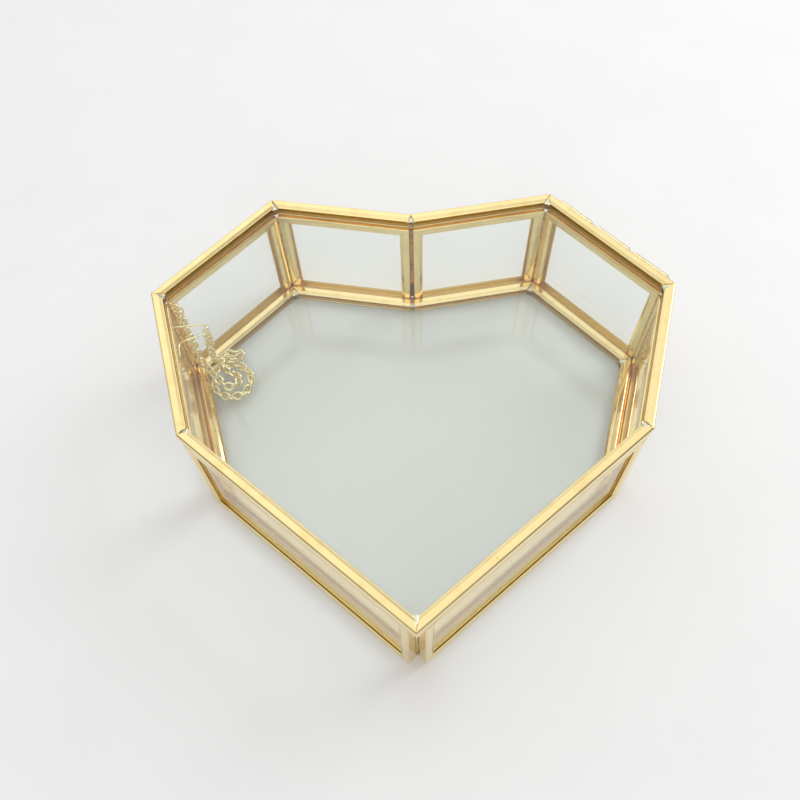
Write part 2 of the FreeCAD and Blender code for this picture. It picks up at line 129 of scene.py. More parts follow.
def rolledBrass():
    # sheet brass, rolled, folded by hand and polished to a mirror: faint roll marks along the strip,
    # soft dents that bend the reflections, and a few brown specks where flux or fingers bit. The inside
    # of the fold is paler and unworn, and the cut lip edges carry painted shade, a dark brown line.
    look = {
        # the dark brown colour below is painted shade for the cut lip edges
        "bright": "#f9e2a5", "inside": "#fbe3a0", "edgeShade": "#5f4a22",
        "tarnish": "#e6c175", "tarnishSize": 9, "tarnishCover": span(0.5, 0.8, 0.0, 0.6),  # sizes in mm
        "speck": "#8d6b34", "speckSize": 2.2, "speckCover": span(0.71, 0.77, 0.0, 0.6),
        "polish": span(0.3, 0.7, 0.05, 0.12), "insideRough": 0.3,
        "dentSize": 14, "dentDepth": 0.1, "dentStrength": 0.5,
        "rollLength": 40, "rollWidth": 0.3,  # drawn coarser than real roll marks, so that they show
        "rollDepth": 0.004, "rollStrength": 0.25,
    }
    material, tree = newMaterial("rolled_brass")
    place = addNode(tree, "ShaderNodeTexCoord").outputs["Object"]
    strip = addNode(tree, "ShaderNodeUVMap", uv_map="strip").outputs["UV"]
    rollSpace = addNode(tree, "ShaderNodeMapping", {
        "Vector": strip, "Scale": (1 / look["rollLength"], 1 / look["rollWidth"], 1)}).outputs["Vector"]
    rolls = addNode(tree, "ShaderNodeTexNoise", {
        "Vector": rollSpace, "Scale": 1.0, "Detail": 3.0}).outputs["Fac"]
    dents = addNode(tree, "ShaderNodeTexNoise", {
        "Vector": place, "Scale": perMetre(look["dentSize"]), "Detail": 1.0}).outputs["Fac"]
    patches = addNode(tree, "ShaderNodeTexNoise", {
        "Vector": place, "Scale": perMetre(look["tarnishSize"]), "Detail": 6.0,
        "Roughness": 0.6}).outputs["Fac"]
    bites = addNode(tree, "ShaderNodeTexNoise", {
        "Vector": place, "Scale": perMetre(look["speckSize"]), "Detail": 3.0}).outputs["Fac"]
    tarnish = addNode(tree, "ShaderNodeMapRange", {
        "Value": patches, **look["tarnishCover"]}).outputs["Result"]
    aged = addNode(tree, "ShaderNodeMix", {
        "Factor": tarnish, "A": linear(look["bright"]), "B": linear(look["tarnish"])},
        data_type="RGBA").outputs["Result"]
    specks = addNode(tree, "ShaderNodeMapRange", {"Value": bites, **look["speckCover"]}).outputs["Result"]
    bitten = addNode(tree, "ShaderNodeMix", {
        "Factor": specks, "A": aged, "B": linear(look["speck"])}, data_type="RGBA").outputs["Result"]
    # faces flagged on the cut lip edges get painted shade: a dark brown in place of the shadow along them
    paintedEdgeShade = addNode(tree, "ShaderNodeAttribute", attribute_name="paintedEdgeShade").outputs["Fac"]
    inside = addNode(tree, "ShaderNodeAttribute", attribute_name="inside").outputs["Fac"]
    sided = addNode(tree, "ShaderNodeMix", {
        "Factor": inside, "A": bitten, "B": linear(look["inside"])}, data_type="RGBA").outputs["Result"]
    color = addNode(tree, "ShaderNodeMix", {
        "Factor": paintedEdgeShade, "A": sided, "B": linear(look["edgeShade"])}, data_type="RGBA").outputs["Result"]
    polish = addNode(tree, "ShaderNodeMapRange", {"Value": rolls, **look["polish"]}).outputs["Result"]
    rough = addNode(tree, "ShaderNodeMix", {
        "Factor": inside, "A": polish, "B": look["insideRough"]}, data_type="FLOAT").outputs["Result"]
    dentBump = addNode(tree, "ShaderNodeBump", {
        "Height": dents, "Strength": look["dentStrength"], "Distance": look["dentDepth"] * mm})
    rollBump = addNode(tree, "ShaderNodeBump", {
        "Height": rolls, "Strength": look["rollStrength"], "Distance": look["rollDepth"] * mm,
        "Normal": dentBump.outputs["Normal"]})
    surface = addNode(tree, "ShaderNodeBsdfPrincipled", {
        "Base Color": color, "Metallic": 1.0, "Roughness": rough, "Normal": rollBump.outputs["Normal"]})
    addNode(tree, "ShaderNodeOutputMaterial", {"Surface": surface.outputs["BSDF"]})
    return material


def drawnBrass():
    # drawn brass wire and tube, tumbled bright: pale yellow with browner patches and fine pitting
    look = {
        "bright": "#fdf3c8", "brown": "#cfa95c", "patchSize": 1.6, "patchCover": span(0.5, 0.8, 0.0, 0.8),
        "polish": span(0.3, 0.7, 0.06, 0.16), "pitSize": 0.25, "pitDepth": 0.01, "pitStrength": 0.2,
    }
    material, tree = newMaterial("drawn_brass")
    place = addNode(tree, "ShaderNodeTexCoord").outputs["Object"]
    patches = addNode(tree, "ShaderNodeTexNoise", {
        "Vector": place, "Scale": perMetre(look["patchSize"]), "Detail": 4.0}).outputs["Fac"]
    pits = addNode(tree, "ShaderNodeTexNoise", {
        "Vector": place, "Scale": perMetre(look["pitSize"]), "Detail": 2.0}).outputs["Fac"]
    cover = addNode(tree, "ShaderNodeMapRange", {"Value": patches, **look["patchCover"]}).outputs["Result"]
    color = addNode(tree, "ShaderNodeMix", {
        "Factor": cover, "A": linear(look["bright"]), "B": linear(look["brown"])},
        data_type="RGBA").outputs["Result"]
    polish = addNode(tree, "ShaderNodeMapRange", {"Value": patches, **look["polish"]}).outputs["Result"]
    bump = addNode(tree, "ShaderNodeBump", {
        "Height": pits, "Strength": look["pitStrength"], "Distance": look["pitDepth"] * mm})
    surface = addNode(tree, "ShaderNodeBsdfPrincipled", {
        "Base Color": color, "Metallic": 1.0, "Roughness": polish, "Normal": bump.outputs["Normal"]})
    addNode(tree, "ShaderNodeOutputMaterial", {"Surface": surface.outputs["BSDF"]})
    return material


def frozenSolder(name, look):
    # tin solder, run in and left to freeze: lumpy, with dull skins and flux in the hollows
    freeze = {
        "skinCover": span(0.45, 0.65, 0.0, 0.8), "fluxCover": span(0.55, 0.8, 0.0, 0.6),
        "dullness": span(0.35, 0.7, 0.12, 0.4), "lumpDepth": 0.15, "lumpStrength": 0.7,
    }
    material, tree = newMaterial(name)
    place = addNode(tree, "ShaderNodeTexCoord").outputs["Object"]
    lumps = addNode(tree, "ShaderNodeTexNoise", {
        "Vector": place, "Scale": perMetre(look["lumpSize"]), "Detail": 3.0}).outputs["Fac"]
    skins = addNode(tree, "ShaderNodeTexNoise", {
        "Vector": place, "Scale": perMetre(look["skinSize"]), "Detail": 5.0}).outputs["Fac"]
    dull = addNode(tree, "ShaderNodeMapRange", {"Value": skins, **freeze["skinCover"]}).outputs["Result"]
    metal = addNode(tree, "ShaderNodeMix", {
        "Factor": dull, "A": linear(look["bright"]), "B": linear(look["skin"])},
        data_type="RGBA").outputs["Result"]
    flux = addNode(tree, "ShaderNodeMapRange", {"Value": lumps, **freeze["fluxCover"]}).outputs["Result"]
    color = addNode(tree, "ShaderNodeMix", {
        "Factor": flux, "A": metal, "B": linear(look["flux"])}, data_type="RGBA").outputs["Result"]
    rough = addNode(tree, "ShaderNodeMapRange", {"Value": skins, **freeze["dullness"]}).outputs["Result"]
    bump = addNode(tree, "ShaderNodeBump", {
        "Height": lumps, "Strength": freeze["lumpStrength"], "Distance": freeze["lumpDepth"] * mm})
    surface = addNode(tree, "ShaderNodeBsdfPrincipled", {
        "Base Color": color, "Metallic": 1.0, "Roughness": rough, "Normal": bump.outputs["Normal"]})
    addNode(tree, "ShaderNodeOutputMaterial", {"Surface": surface.outputs["BSDF"]})
    return material


def floatGlass():
    # clear float glass, 2 mm: a faint green tint, gloss that grows towards the edge of sight, and a
    # trace of wiping smears that only the gloss shows
    look = {
        "tint": "#fbfcfb", "facingGloss": 0.04, "edgePower": 5.0,  # the gloss of glass with IOR 1.5
        "smearSize": 14, "smearBlur": span(0.4, 0.8, 0.0, 0.12),
    }
    material, tree = newMaterial("clear_float_glass")
    place = addNode(tree, "ShaderNodeTexCoord").outputs["Object"]
    smears = addNode(tree, "ShaderNodeTexNoise", {
        "Vector": place, "Scale": perMetre(look["smearSize"]), "Detail": 4.0,
        "Distortion": 1.5}).outputs["Fac"]
    blur = addNode(tree, "ShaderNodeMapRange", {"Value": smears, **look["smearBlur"]}).outputs["Result"]
    facing = addNode(tree, "ShaderNodeLayerWeight", {"Blend": 0.5}).outputs["Facing"]
    edge = addNode(tree, "ShaderNodeMath", {
        0: facing, 1: look["edgePower"]}, operation="POWER").outputs["Value"]
    gloss = addNode(tree, "ShaderNodeMath", {
        0: edge, 1: 1 - look["facingGloss"], 2: look["facingGloss"]},
        operation="MULTIPLY_ADD").outputs["Value"]
    through = addNode(tree, "ShaderNodeBsdfTransparent", {"Color": linear(look["tint"])})
    mirror = addNode(tree, "ShaderNodeBsdfGlossy", {"Color": (1, 1, 1, 1), "Roughness": blur})
    surface = addNode(tree, "ShaderNodeMixShader", {
        0: gloss, 1: through.outputs["BSDF"], 2: mirror.outputs["BSDF"]})
    addNode(tree, "ShaderNodeOutputMaterial", {"Surface": surface.outputs["Shader"]})
    return material


def paleTable():
    # a matt white tabletop with the faintest mottle
    look = {"pale": "#f7f7f7", "deep": "#f1f1f1", "mottleSize": 45}
    material, tree = newMaterial("pale_tabletop")
    place = addNode(tree, "ShaderNodeTexCoord").outputs["Object"]
    mottle = addNode(tree, "ShaderNodeTexNoise", {
        "Vector": place, "Scale": perMetre(look["mottleSize"]), "Detail": 3.0}).outputs["Fac"]
    color = addNode(tree, "ShaderNodeMix", {
        "Factor": mottle, "A": linear(look["pale"]), "B": linear(look["deep"])},
        data_type="RGBA").outputs["Result"]
    surface = addNode(tree, "ShaderNodeBsdfPrincipled", {"Base Color": color, "Roughness": 0.7})
    addNode(tree, "ShaderNodeOutputMaterial", {"Surface": surface.outputs["BSDF"]})
    return material


brass = rolledBrass()
wireBrass = drawnBrass()
solder = frozenSolder("bare_tin_solder", {
    "bright": "#e6e1d0", "skin": "#9c947d", "flux": "#b9a673", "lumpSize": 1.1, "skinSize": 2.4})
platedSolder = frozenSolder("brass_plated_solder", {
    "bright": "#d9c38a", "skin": "#a98c56", "flux": "#8a6a38", "lumpSize": 1.6, "skinSize": 3.2})
glass = floatGlass()
print("materials: brass, wire, solder, glass")


def newPiece(name, mesh, material, smoothAngle=None):
    mesh.materials.clear()
    mesh.materials.append(material)
    for polygon in mesh.polygons:
        polygon.use_smooth = True
    if smoothAngle:
        mesh.set_sharp_from_angle(angle=math.radians(smoothAngle))
    piece = bpy.data.objects.new(name, mesh)
    bpy.context.scene.collection.objects.link(piece)
    return piece


def dress(piece, body, slot, *nodes):
    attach(piece, body)
    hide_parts(*nodes)


def applied(carrier, name, material):
    # turns a carrier object's evaluated result into a plain piece and drops the carrier
    evaluated = carrier.evaluated_get(bpy.context.evaluated_depsgraph_get())
    mesh = bpy.data.meshes.new_from_object(evaluated)
    mesh.name = name
    bpy.data.objects.remove(carrier)
    return newPiece(name, mesh, material, smoothAngle=60)


def drawnMesh(name, draft):
    # a mesh of the faces drawn so far, all of them turned outwards
    bmesh.ops.recalc_face_normals(draft, faces=draft.faces)
    mesh = bpy.data.meshes.new(name)
    draft.to_mesh(mesh)
    draft.free()
    return mesh


def closeEnds(draft, rows):
    # faces across the sheet at both ends, from a section's outer side to its inner side
    last = len(rows[0]) - 1
    caps = []
    for row in (rows[0], rows[-1]):
        for k in range(len(row) // 2 - 1):
            caps.append(draft.faces.new((row[k], row[k + 1], row[last - 1 - k], row[last - k])))
    return caps


def arc(centre, radius, start, end, steps):
    points = []
    for i in range(steps + 1):
        angle = math.radians(start + (end - start) * i / steps)
        points.append((centre[0] + radius * math.cos(angle), centre[1] + radius * math.sin(angle)))
    return points


def legTop(inset):
    # height of a leg's outer side above the middle of its channel
    slope = channel["leg"] - channel["lipFlat"] - channel["crease"]
    bent = min(max(0.0, inset - channel["crease"]), slope)
    return channel["thick"] / 2 - bent * channel["lipDrop"] / slope


def channelSection():
    # the folded strip's section as (inset, across): the outer side lip to lip, and the inner side to match.
    # A leg runs level from the fold to its crease, bends in from there, and ends in a narrow level lip.
    leg, half, sheet, crease = channel["leg"], channel["thick"] / 2, channel["sheet"], channel["crease"]
    fold, lip, soft = channel["foldRadius"], channel["lipRound"], channel["creaseRound"]
    sink = soft * channel["creaseSink"]
    bend = leg - channel["lipFlat"]
    top = legTop(leg)
    slope = channel["lipDrop"] / (bend - crease)
    shift = sheet * slope / 2  # the inner side of a bend lies this much nearer the fold
    innerFold = max(fold - sheet, channel["tightestFold"])
    innerCrease = crease - shift
    outer = [(leg, top - lip), (leg - lip, top), (bend, top), (crease + soft, legTop(crease + soft)),
             (crease, half - sink), (crease - soft, half)]
    outer += arc((fold, half - fold), fold, 90, 180, channel["foldSteps"])
    outer += [(x, -a) for x, a in reversed(outer)]
    inner = [(leg, top - sheet + lip), (leg - lip, top - sheet), (bend - shift, top - sheet),
             (innerCrease + soft, half - sheet - soft * slope), (innerCrease, half - sheet - sink),
             (innerCrease - soft, half - sheet)]
    inner += arc((sheet + innerFold, half - sheet - innerFold), innerFold, 90, 180, channel["foldSteps"])
    inner += [(x, -a) for x, a in reversed(inner)]
    return outer, inner


def channelFrame(name, loop, toWorld, notch, seed):
    # one strip per side, mitred at the corners. Beyond the fold the legs are cut back by the notch.
    outer, inner = channelSection()
    ring = outer + inner[::-1]
    count = len(outer)
    around = [0.0]
    for k in range(1, len(ring) + 1):
        around.append(around[-1] + (Vector(ring[k % len(ring)]) - Vector(ring[k - 1])).length)
    steps, ways = inwardSteps(loop), edgeWays(loop)
    keep = channel["foldRadius"]
    draft = bmesh.new()
    uv = draft.loops.layers.uv.new("strip")
    # a face layer that flags where the brass gets painted shade
    paintedEdgeShade = draft.faces.layers.float.new("paintedEdgeShade")
    inside = draft.faces.layers.float.new("inside")
    for i, way in enumerate(ways):
        after = (i + 1) % len(loop)
        length = (loop[after] - loop[i]).length
        sections = max(2, round(length / channel["sectionStep"]))
        marksFrom = channel["markShift"] * i + channel["frameShift"] * seed
        rows = []
        for s in range(sections + 1):
            share = s / sections
            calm = math.sin(math.pi * share)  # true at its corners, a hair thinner here and there between
            wanderPlace = Vector((share * length / channel["wanderLength"], i * channel["sideShift"], seed))
            pinch = abs(noise.noise(wanderPlace) * channel["wander"] * calm)
            row = []
            for inset, across in ring:
                cut = notch * max(0.0, (inset - keep) / (channel["leg"] - keep))
                start = loop[i] + steps[i] * inset + way * cut
                end = loop[after] + steps[after] * inset - way * cut
                spot = start.lerp(end, share)
                pinched = across * (1 - pinch / channel["thick"] * 2)
                row.append(draft.verts.new(toWorld(spot.x, spot.y, pinched)))
            rows.append(row)
        for s in range(sections):
            near, far = rows[s], rows[s + 1]
            for k in range(len(ring)):
                following = (k + 1) % len(ring)
                face = draft.faces.new((near[k], near[following], far[following], far[k]))
                # the cut end faces of the two lips take painted shade
                face[paintedEdgeShade] = float(following in (0, count))
                face[inside] = float(k >= count - 1)
                marks = [(s, k), (s, k + 1), (s + 1, k + 1), (s + 1, k)]
                for corner, (row, column) in zip(face.loops, marks):
                    corner[uv].uv = (length * row / sections + marksFrom, around[column])
                if around[k + 1] - around[k] > channel["flat"]:
                    for column in (k, following):
                        draft.edges.get((near[column], far[column])).smooth = False
        for cap in closeEnds(draft, rows):
            for edge in cap.edges:
                edge.smooth = False
    return newPiece(name, drawnMesh(name, draft), brass)


def notchSolder(name, loop, toWorld, seed):
    # frozen solder that fills the V between two cut legs, on both faces of the frame, a little below them
    fill = {
        "grid": 9, "overlap": 0.12, "depth": 0.75, "sink": 0.3, "crown": 0.25,
        "lump": 0.16, "lumpSize": 0.8, "faceShift": 5,  # the two faces get different lumps
    }
    steps, ways = inwardSteps(loop), edgeWays(loop)
    keep = channel["foldRadius"]
    grid = fill["grid"]
    stride = grid + 1
    draft = bmesh.new()
    for i, corner in enumerate(loop):
        for side in (1, -1):
            upper, lower = [], []
            for row in range(stride):
                inset = keep + (channel["leg"] - keep) * row / grid
                width = channel["legNotch"] * row / grid + fill["overlap"]
                middle = corner + steps[i] * inset
                ends = (middle - ways[i - 1] * width, middle + ways[i] * width)
                top = legTop(inset)
                for column in range(stride):
                    share = column / grid
                    spot = ends[0].lerp(ends[1], share)
                    swell = 1 - (2 * share - 1) ** 2
                    lumpPlace = Vector((spot.x, spot.y, side * fill["faceShift"] + seed)) / fill["lumpSize"]
                    rise = fill["crown"] * (swell - 1) + fill["lump"] * noise.noise(lumpPlace) * swell
                    height = min(top - fill["sink"] + rise, top)
                    upper.append(draft.verts.new(toWorld(spot.x, spot.y, side * height)))
                    lower.append(draft.verts.new(toWorld(spot.x, spot.y, side * (top - fill["depth"]))))
            for row in range(grid):
                for column in range(grid):
                    first = row * stride + column
                    quad = [first, first + 1, first + stride + 1, first + stride]
                    draft.faces.new([upper[k] for k in quad])
                    draft.faces.new([lower[k] for k in reversed(quad)])
            rim = list(range(grid)) + [row * stride + grid for row in range(grid)]
            rim += [grid * stride + column for column in range(grid, 0, -1)]
            rim += [row * stride for row in range(grid, 0, -1)]
            for a, b in zip(rim, rim[1:] + rim[:1]):
                draft.faces.new((upper[a], lower[a], lower[b], upper[b]))
    return newPiece(name, drawnMesh(name, draft), solder, smoothAngle=70)


def insetLoop(distance):
    return [corner + step * distance for corner, step in zip(corners, cornerSteps)]


def flatAt(height):
    return lambda x, y, across: Vector((x, y, height + across)) * mm


lidPlace = flatAt(channel["lidBase"] + channel["thick"] / 2)
floorPlace = flatAt(channel["thick"] / 2)
floorLoop = insetLoop(channel["floorInset"])
lidChannel = channelFrame("lidChannel", corners, lidPlace, channel["legNotch"], seed=1)
dress(lidChannel, "lid", "brass", "lid_frame")
dress(notchSolder("lidCornerSolder", corners, lidPlace, seed=1), "lid", "solder", "lid_solder")
floorChannel = channelFrame("floorChannel", floorLoop, floorPlace, channel["legNotch"], seed=2)
dress(floorChannel, "box", "brass", "floor_frame")
dress(notchSolder("floorCornerSolder", floorLoop, floorPlace, seed=2), "box", "solder", "floor_solder")
print("lid and floor channels")


def wallLength(i):
    return (corners[(i + 1) % len(corners)] - corners[i]).length


def setback(i):
    # how far a wall channel stops short of a corner, so that it clears its neighbour
    before, after = wallWays[i - 1], wallWays[i]
    turn = math.atan2(before.y * after.x - before.x * after.y, before.dot(after))
    return max(0.0, channel["thick"] * math.tan(turn / 2)) + channel["cornerGap"]


def onWall(i):
    # world place of a point on a wall: along it, up it, and across from the middle of its thickness
    way = wallWays[i]
    outward = Vector((-way.y, way.x))

    def place(along, up, across):
        spot = corners[i] + way * along + outward * (across - channel["thick"] / 2)
        return Vector((spot.x, spot.y, up)) * mm
    return place


for i, wall in enumerate(wallNames):
    left = setback(i)
    right = wallLength(i) - setback((i + 1) % len(corners))
    high = channel["wallHeight"]
    sides = [Vector(point) for point in ((left, 0), (left, high), (right, high), (right, 0))]
    piece = channelFrame(wall + "_channel", sides, onWall(i), channel["hairline"], seed=10 + i)
    dress(piece, "box", "brass", wall + "_frame")
print("wall channels:", len(wallNames))


# solder beads that run up the gaps between the wall channels, in mm
bead = {
    "depth": 0.4, "wetting": 0.1, "endGap": 0.8, "spacing": 0.9, "sides": 10,
    "lump": 0.35, "lumpSize": 4.0, "seed": 4.0,
}


def newTree(name, inputs):
    tree = bpy.data.node_groups.new(name, "GeometryNodeTree")
    tree.interface.new_socket("Geometry", in_out="INPUT", socket_type="NodeSocketGeometry")
    for label in inputs:
        tree.interface.new_socket(label, in_out="INPUT", socket_type="NodeSocketFloat")
    tree.interface.new_socket("Geometry", in_out="OUTPUT", socket_type="NodeSocketGeometry")
    return tree, addNode(tree, "NodeGroupInput").outputs


def endTree(tree, geometry, material):
    real = addNode(tree, "GeometryNodeRealizeInstances", {"Geometry": geometry})
    dressed = addNode(tree, "GeometryNodeSetMaterial", {
        "Geometry": real.outputs["Geometry"], "Material": material})
    addNode(tree, "NodeGroupOutput", {"Geometry": dressed.outputs["Geometry"]})


def useTree(carrier, tree, values):
    modifier = carrier.modifiers.new(tree.name, "NODES")
    modifier.node_group = tree
    for item in tree.interface.items_tree:
        if item.in_out == "INPUT" and item.name in values:
            modifier[item.identifier] = float(values[item.name])


def lineCarrier(name, points, bendSteps=None):
    # an object that holds one line of mm points: straight between them, or a smooth spline
    curve = bpy.data.curves.new(name, "CURVE")
    curve.dimensions = "3D"
    spline = curve.splines.new("NURBS" if bendSteps else "POLY")
    spline.points.add(len(points) - 1)
    for point, place in zip(spline.points, points):
        point.co = (*(Vector(place) * mm), 1.0)
    if bendSteps:
        spline.order_u = 3
        spline.use_endpoint_u = True
        spline.resolution_u = bendSteps
    carrier = bpy.data.objects.new(name, curve)
    bpy.context.scene.collection.objects.link(carrier)
    return carrier


def beadTree():
    # a tube along a line, thicker and thinner as the solder froze
    tree, given = newTree("solder bead", ["Spacing", "Radius", "Lump", "Lump Size", "Seed"])
    line = addNode(tree, "GeometryNodeResampleCurve", {
        "Curve": given["Geometry"], "Length": given["Spacing"]}, mode="LENGTH")
    scale = addNode(tree, "ShaderNodeMath", {0: 1.0, 1: given["Lump Size"]}, operation="DIVIDE")
    spot = addNode(tree, "GeometryNodeInputPosition")
    lumps = addNode(tree, "ShaderNodeTexNoise", {
        "Vector": spot.outputs["Position"], "W": given["Seed"], "Scale": scale.outputs["Value"],
        "Detail": 2.0}, noise_dimensions="4D")
    swell = addNode(tree, "ShaderNodeMath", {
        0: lumps.outputs["Fac"], 1: given["Lump"], 2: 1.0}, operation="MULTIPLY_ADD")
    width = addNode(tree, "ShaderNodeMath", {
        0: swell.outputs["Value"], 1: given["Radius"]}, operation="MULTIPLY")
    ring = addNode(tree, "GeometryNodeCurvePrimitiveCircle", {"Resolution": bead["sides"], "Radius": 1.0})
    tube = addNode(tree, "GeometryNodeCurveToMesh", {
        "Curve": line.outputs["Curve"], "Profile Curve": ring.outputs["Curve"],
        "Scale": width.outputs["Value"], "Fill Caps": True})
    endTree(tree, tube.outputs["Mesh"], platedSolder)
    return tree


beads = beadTree()
for i, corner in enumerate(cornerNames):
    inner = corners[i] + cornerSteps[i] * channel["thick"]
    inward = cornerSteps[i].normalized()
    opensOut = wallWays[i - 1].cross(wallWays[i]) < 0  # the gap opens inwards at the notch alone
    middle = inner - inward * bead["depth"] if opensOut else corners[i] + inward * bead["depth"]
    halfTurn = wallWays[i - 1].angle(wallWays[i]) / 2
    radius = bead["depth"] * math.sin(halfTurn) + bead["wetting"]
    ends = (bead["endGap"], channel["wallHeight"] - bead["endGap"])
    carrier = lineCarrier("seamLine", [(middle.x, middle.y, z) for z in ends])
    useTree(carrier, beads, {
        "Spacing": bead["spacing"] * mm, "Radius": radius * mm, "Lump": bead["lump"],
        "Lump Size": bead["lumpSize"] * mm, "Seed": bead["seed"] + i})
    dress(applied(carrier, corner + "_bead", platedSolder), "box", "solder", corner + "_seam")
print("solder beads:", len(cornerNames))


# hinge on the outside of the right shoulder: sheet rolled round a wire pin, in mm and degrees
hinge = {
    "wall": "shoulder_right", "out": 1.9, "height": 51.4, "length": 16.0, "space": 3.0,
    "barrel": 1.5, "sheet": 0.55, "curl": 305, "curlSteps": 26,
    "wallLeaf": 5.0, "lidLeaf": 2.4, "leafLift": 0.05,
    "leafEnd": 1.5,  # a leaf is flat to this far from the pin's level
    "swayOut": 0.08, "swayDrop": 0.75,  # the point where the leaf swings out into the roll
    "edgeRound": 0.12, "edgeSegments": 2, "edgeAngle": 50,
}
hingeWall = wallNames.index(hinge["wall"])


def knuckleSection(below):
    # the rolled leaf's section as (out from the wall, up), the outer side and the inner side
    mid = hinge["barrel"] - hinge["sheet"] / 2
    half = hinge["sheet"] / 2
    leaf = hinge["wallLeaf"] if below else hinge["lidLeaf"]
    flat = half + hinge["leafLift"]
    line = [(flat, -leaf), (flat, -hinge["leafEnd"]),
            (hinge["out"] - mid - hinge["swayOut"], -hinge["swayDrop"])]
    line += arc((hinge["out"], 0.0), mid, 180, 180 - hinge["curl"], hinge["curlSteps"])
    line = [Vector(point) for point in line]
    sides = ([], [])
    for k, point in enumerate(line):
        way = (line[min(k + 1, len(line) - 1)] - line[max(k - 1, 0)]).normalized()
        across = Vector((-way.y, way.x)) * half
        sides[0].append(point + across)
        sides[1].append(point - across)
    flip = 1 if below else -1
    return [[(p.x, hinge["height"] + flip * p.y) for p in side] for side in sides]


def knuckles(name, starts, below):
    way = wallWays[hingeWall]
    outward = Vector((-way.y, way.x))
    outer, inner = knuckleSection(below)
    ring = outer + inner[::-1]
    draft = bmesh.new()
    for start in starts:
        rows = []
        for along in (start, start + hinge["length"]):
            row = []
            for out, up in ring:
                spot = corners[hingeWall] + way * along + outward * out
                row.append(draft.verts.new(Vector((spot.x, spot.y, up)) * mm))
            rows.append(row)
        near, far = rows
        for k in range(len(ring)):
            following = (k + 1) % len(ring)
            draft.faces.new((near[k], near[following], far[following], far[k]))
        closeEnds(draft, rows)
    piece = newPiece(name, drawnMesh(name, draft), wireBrass, smoothAngle=40)
    rounding = piece.modifiers.new("edges", "BEVEL")
    rounding.width = hinge["edgeRound"] * mm
    rounding.segments = hinge["edgeSegments"]
    rounding.limit_method = "ANGLE"
    rounding.angle_limit = math.radians(hinge["edgeAngle"])
    return piece


pitch = hinge["length"] + hinge["space"]
firstStart = (wallLength(hingeWall) - hinge["length"]) / 2 - pitch
boxKnuckles = knuckles("hingeKnucklesBox", [firstStart, firstStart + 2 * pitch], below=True)
dress(boxKnuckles, "box", "brass", "hinge_knuckles_box")
lidKnuckle = knuckles("hingeKnuckleLid", [firstStart + pitch], below=False)
dress(lidKnuckle, "lid", "brass", "hinge_knuckle_lid")
print("hinge knuckles")


# keeper chain, its wire eye on the left wall and its ring in the left corner, in mm and degrees.
# A link's roll and lean are in radians.
chain = {
    "linkLength": 1.95, "linkWidth": 1.5, "linkWire": 0.56, "linkSides": 18, "wireSides": 8,
    "pitch": 2.6, "roll": 0.35, "lean": 0.16, "seed": 7, "bendSteps": 8,
    "corner": "left_side", "eyeWall": "side_left", "eyePlace": 16.7, "hangDrop": 3.0,
    "wire": 0.35, "wireRound": 3, "wireSteps": 6,
    "ringRadius": 2.6, "ringGap": 0.05, "ringStart": 100, "ringSweep": 358, "ringSteps": 13,
}
# the chain's way: down from the ring, a wide loop on the floor, a small loop over it, a fold, up to the eye
chainWay = [
    (-91.6, 39.5, 43.2), (-91.7, 39.6, 34), (-91.4, 39.2, 24), (-90.9, 38.6, 14.5), (-89.6, 37.4, 9.4),
    (-87.2, 35.8, 8.0), (-84.8, 33.2, 7.0), (-85.4, 30.4, 6.2), (-84.4, 27.0, 5.6), (-81.5, 24.4, 5.5),
    (-77.6, 23.4, 5.5), (-73.5, 24.4, 5.5), (-70.4, 27.3, 5.5), (-69.4, 31.4, 5.5), (-70.6, 35.5, 5.5),
    (-73.7, 38.6, 5.6), (-77.6, 39.6, 6.0), (-81.6, 38.5, 7.6), (-84.4, 35.4, 9.8), (-84.0, 31.5, 9.6),
    (-81.4, 28.6, 8.6), (-78.2, 26.9, 8.0), (-75.2, 28.6, 7.2), (-74.4, 31.6, 6.6), (-76.4, 34.0, 6.8),
    (-79.4, 34.2, 8.6), (-82.0, 37.6, 10.4), (-83.0, 42.0, 8.0), (-80.6, 45.4, 6.0), (-77.0, 46.4, 5.6),
    (-74.8, 45.0, 5.6), (-76.0, 42.8, 6.0), (-79.4, 42.0, 7.6), (-82.8, 41.0, 9.4), (-84.6, 38.6, 12),
    (-84.0, 36.4, 18), (-82.6, 34.2, 26), (-80.8, 32.0, 36), (-79.1, 30.2, 45.9),
]
# the eye's wire, level: out from the wall, and along it. It ends in a foot that lies on the rail.
eyeBends = [
    (-0.2, 4.2), (1.5, 3.9), (6.0, 3.1), (10.6, 2.4), (12.3, 1.2), (12.3, -1.2),
    (10.6, -2.5), (6.0, -3.0), (3.0, -3.2), (0.95, -4.2), (0.4, -6.0), (0.4, -10.0),
]


def wirePiece(name, points):
    carrier = lineCarrier(name, points, chain["wireSteps"])
    carrier.data.bevel_depth = chain["wire"] * mm
    carrier.data.bevel_resolution = chain["wireRound"]
    carrier.data.use_fill_caps = True
    return applied(carrier, name, wireBrass)


hangHeight = channel["wallHeight"] - chain["hangDrop"]
hangCorner = cornerNames.index(chain["corner"])

eyeWay = wallWays[wallNames.index(chain["eyeWall"])]
eyeIn = Vector((eyeWay.y, -eyeWay.x))
eyeRoot = corners[hangCorner] - eyeWay * chain["eyePlace"] + eyeIn * channel["thick"]
eyeLine = []
for out, along in eyeBends:
    spot = eyeRoot + eyeIn * out + eyeWay * along
    eyeLine.append((spot.x, spot.y, hangHeight))
dress(wirePiece("chainEyeWire", eyeLine), "box", "chain_brass", "chain_eye")

ringIn = cornerSteps[hangCorner].normalized()
ringOffset = chain["ringRadius"] + chain["wire"] + chain["ringGap"]
ringMiddle = corners[hangCorner] + cornerSteps[hangCorner] * channel["thick"] + ringIn * ringOffset
ringEnd = chain["ringStart"] + chain["ringSweep"]
ringLine = []
for out, up in arc((0.0, hangHeight), chain["ringRadius"], chain["ringStart"], ringEnd, chain["ringSteps"]):
    spot = ringMiddle + ringIn * out
    ringLine.append((spot.x, spot.y, up))
dress(wirePiece("chainCornerRing", ringLine), "box", "chain_brass", "chain_ring")


